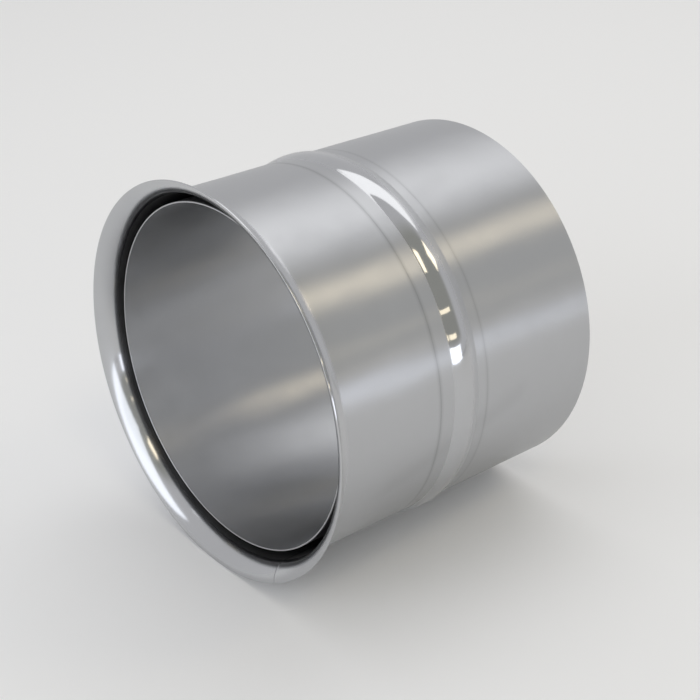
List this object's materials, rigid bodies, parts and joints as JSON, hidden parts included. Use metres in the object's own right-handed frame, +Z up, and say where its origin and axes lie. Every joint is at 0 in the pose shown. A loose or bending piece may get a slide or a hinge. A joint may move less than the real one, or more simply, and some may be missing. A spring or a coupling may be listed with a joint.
{
  "type": "flue wall sleeve",
  "caption": "Double-skinned round sleeve, flared at the front and beaded outside, built into a wall so that a stove pipe's end can push into the ring-shaped gap between its skins.",
  "frame": {"origin": "centre of the flared rim's front plane, on the sleeve's axis", "axes": "+Y along the level axis, from the flared rim into the wall; +Z up; +X to the right, seen from the room"},
  "size_m": [0.1659, 0.1375, 0.166],
  "materials": {
    "outer_sheet": "bright rolled steel sheet, satin, with a polished rolled bead",
    "inner_sheet": "bright rolled steel sheet, satin"
  },
  "bodies": {
    "root": {"outer_sleeve": "outer_sheet", "inner_sleeve": "inner_sheet"}
  },
  "joints": []
}
